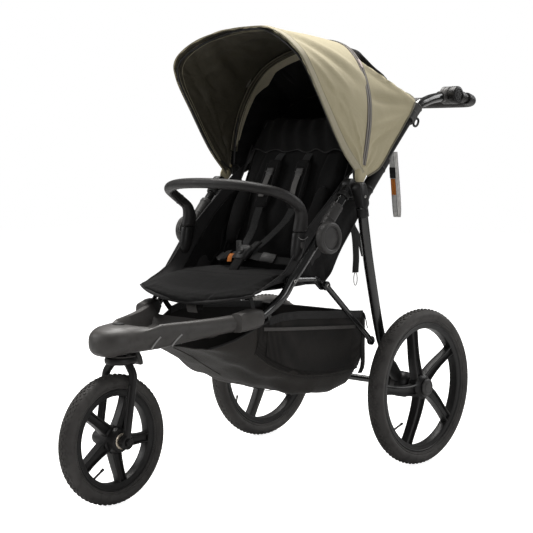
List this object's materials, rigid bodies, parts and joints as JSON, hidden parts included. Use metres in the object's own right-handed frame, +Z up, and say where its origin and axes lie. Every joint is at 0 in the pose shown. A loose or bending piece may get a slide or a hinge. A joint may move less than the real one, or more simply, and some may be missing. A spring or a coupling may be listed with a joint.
{
  "type": "baby stroller",
  "caption": "Folding three-wheeled baby stroller with swivel front wheel, reclining hammock seat, folding canopy, bumper bar and basket.",
  "frame": {"origin": "on the ground, midway between the sides and between the front of the front tyre and the back of the handlebar", "axes": "+Z up, -Y towards the front wheel, +X towards the stroller's left"},
  "size_m": [0.599, 1.288, 1.1085],
  "materials": {
    "tyre_rubber": "matte black rubber with moulded tread blocks",
    "rim_plastic": "satin black moulded nylon",
    "frame_black": "gloss black powder coat",
    "black_plastic": "satin black moulded plastic",
    "moulded_dark_grey": "fine grained dark grey moulded plastic",
    "steel": "bright zinc",
    "leatherette": "dark grey-brown stitched leatherette",
    "khaki_cloth": "khaki woven polyester, dark olive coating inside",
    "black_cloth": "black woven polyester, padded",
    "basket_cloth": "brown-black woven polyester with mesh side panels",
    "webbing": "black webbing",
    "pale_webbing": "pale grey webbing"
  },
  "bodies": {
    "frame": {"footrest_platform": "moulded_dark_grey", "steering_bush": "steel", "front_tube_left": "frame_black", "front_tube_right": "frame_black", "hub_cover_left": "black_plastic", "hub_cover_right": "black_plastic", "apex_fitting_left": "black_plastic", "apex_fitting_right": "black_plastic", "seat_rail": "frame_black", "seat_pad": "black_cloth", "seat_side_left": "black_cloth", "seat_side_right": "black_cloth", "harness_buckle": "black_plastic", "bar_adapter_left": "black_plastic", "bar_adapter_right": "black_plastic", "basket": "basket_cloth"},
    "swivel_lock": {"swivel_lock_lever": "black_plastic"},
    "fork": {"front_fork": "black_plastic", "front_axle": "steel"},
    "front_wheel": {"front_tyre": "tyre_rubber", "front_rim": "rim_plastic"},
    "rear_frame": {"rear_leg_left": "frame_black", "rear_leg_right": "frame_black", "leg_cap_left": "black_plastic", "leg_cap_right": "black_plastic", "rear_axle": "steel", "brake_housing_left": "black_plastic", "brake_housing_right": "black_plastic"},
    "brake": {"brake_pedal": "moulded_dark_grey"},
    "rear_wheel_left": {"rear_left_tyre": "tyre_rubber", "rear_left_rim": "rim_plastic"},
    "rear_wheel_right": {"rear_right_tyre": "tyre_rubber", "rear_right_rim": "rim_plastic"},
    "release_left": {"wheel_button_left": "black_plastic"},
    "release_right": {"wheel_button_right": "black_plastic"},
    "braces": {"brace_left": "frame_black", "brace_right": "frame_black"},
    "pusher": {"pusher_tube_left": "frame_black", "pusher_tube_right": "frame_black", "pusher_lug_left": "black_plastic", "pusher_lug_right": "black_plastic", "trigger_sleeve_left": "black_plastic", "trigger_sleeve_right": "black_plastic", "handle_joint_left": "black_plastic", "handle_joint_right": "black_plastic", "canopy_rear_panel": "khaki_cloth"},
    "trigger_left": {"fold_trigger_left": "black_plastic"},
    "trigger_right": {"fold_trigger_right": "black_plastic"},
    "tilt_button_left": {"tilt_button_left": "black_plastic"},
    "tilt_button_right": {"tilt_button_right": "black_plastic"},
    "handle": {"handlebar": "black_plastic", "handle_grip": "leatherette"},
    "canopy_middle": {"canopy_mid_bow": "black_plastic"},
    "canopy_front": {"canopy_front_bow": "black_plastic", "canopy_front_panel": "khaki_cloth"},
    "backrest": {"backrest": "black_cloth", "shoulder_strap_left": "webbing", "shoulder_strap_right": "webbing"},
    "bumper": {"bumper_bar": "leatherette"},
    "strap": {"wrist_strap": "pale_webbing"}
  },
  "joints": [
    {"name": "frame_fold", "type": "hinge", "parent": "frame", "child": "pusher", "pos_m": [0, 0.091, 0.706], "axis": [1, 0, 0], "range_deg": [-110, 0]},
    {"name": "leg_fold", "type": "hinge", "parent": "frame", "child": "rear_frame", "pos_m": [0, 0.091, 0.706], "axis": [1, 0, 0], "range_deg": [-40.1, 0]},
    {"name": "brace_fold", "type": "hinge", "parent": "frame", "child": "braces", "pos_m": [0, 0.031, 0.4745], "axis": [1, 0, 0], "range_deg": [-69.4, 0]},
    {"name": "caster_swivel", "type": "hinge", "parent": "frame", "child": "fork", "pos_m": [0, -0.467, 0.32], "axis": [0, 0, 1], "continuous": true},
    {"name": "front_wheel_spin", "type": "hinge", "parent": "fork", "child": "front_wheel", "pos_m": [0, -0.494, 0.15], "axis": [1, 0, 0], "continuous": true},
    {"name": "swivel_lock_slide", "type": "slide", "parent": "frame", "child": "swivel_lock", "axis": [0, 1, 0], "range_m": [0, 0.006]},
    {"name": "rear_wheel_left_spin", "type": "hinge", "parent": "rear_frame", "child": "rear_wheel_left", "pos_m": [0.271, 0.312, 0.2], "axis": [1, 0, 0], "continuous": true},
    {"name": "rear_wheel_right_spin", "type": "hinge", "parent": "rear_frame", "child": "rear_wheel_right", "pos_m": [-0.271, 0.312, 0.2], "axis": [1, 0, 0], "continuous": true},
    {"name": "brake_press", "type": "hinge", "parent": "rear_frame", "child": "brake", "pos_m": [0.201, 0.3495, 0.1915], "axis": [1, 0, 0], "range_deg": [-16, 0]},
    {"name": "release_press_left", "type": "slide", "parent": "rear_wheel_left", "child": "release_left", "axis": [-1, 0, 0], "range_m": [0, 0.0025], "stiffness_N_per_m": 900},
    {"name": "release_press_right", "type": "slide", "parent": "rear_wheel_right", "child": "release_right", "axis": [1, 0, 0], "range_m": [0, 0.0025], "stiffness_N_per_m": 900},
    {"name": "handle_tilt", "type": "hinge", "parent": "pusher", "child": "handle", "pos_m": [0, 0.531, 0.9505], "axis": [1, 0, 0], "range_deg": [-20, 60]},
    {"name": "trigger_pull_left", "type": "slide", "parent": "pusher", "child": "trigger_left", "axis": [0, 0.7413, 0.6712], "range_m": [0, 0.01], "stiffness_N_per_m": 900},
    {"name": "trigger_pull_right", "type": "slide", "parent": "pusher", "child": "trigger_right", "axis": [0, 0.7413, 0.6712], "range_m": [0, 0.01], "stiffness_N_per_m": 900},
    {"name": "tilt_press_left", "type": "slide", "parent": "pusher", "child": "tilt_button_left", "axis": [1, 0, 0], "range_m": [0, 0.004], "stiffness_N_per_m": 900},
    {"name": "tilt_press_right", "type": "slide", "parent": "pusher", "child": "tilt_button_right", "axis": [-1, 0, 0], "range_m": [0, 0.004], "stiffness_N_per_m": 900},
    {"name": "canopy_fold", "type": "hinge", "parent": "pusher", "child": "canopy_middle", "pos_m": [0, 0.131, 0.752], "axis": [1, 0, 0], "range_deg": [-22, 0], "deforming": ["canopy_rear_panel"]},
    {"name": "canopy_front_fold", "type": "hinge", "parent": "canopy_middle", "child": "canopy_front", "pos_m": [0, 0.131, 0.752], "axis": [1, 0, 0], "range_deg": [-36.1, 0], "deforming": ["canopy_front_panel"]},
    {"name": "backrest_recline", "type": "hinge", "parent": "frame", "child": "backrest", "pos_m": [0, 0.021, 0.522], "axis": [1, 0, 0], "range_deg": [-30, 0]},
    {"name": "bumper_lift", "type": "slide", "parent": "frame", "child": "bumper", "axis": [0, 0.2149, 0.9766], "range_m": [0, 0.09]},
    {"name": "strap_swing", "type": "hinge", "parent": "pusher", "child": "strap", "pos_m": [0.196, 0.2965, 0.803], "axis": [1, 0, 0], "range_deg": [0, 110.1]}
  ],
  "couplings": [
    {"joint": "leg_fold", "follows": "frame_fold", "ratio": 0.36364},
    {"joint": "brace_fold", "follows": "frame_fold", "ratio": 0.63},
    {"joint": "strap_swing", "follows": "frame_fold", "ratio": -1},
    {"joint": "canopy_front_fold", "follows": "canopy_fold", "ratio": 1.6364}
  ]
}
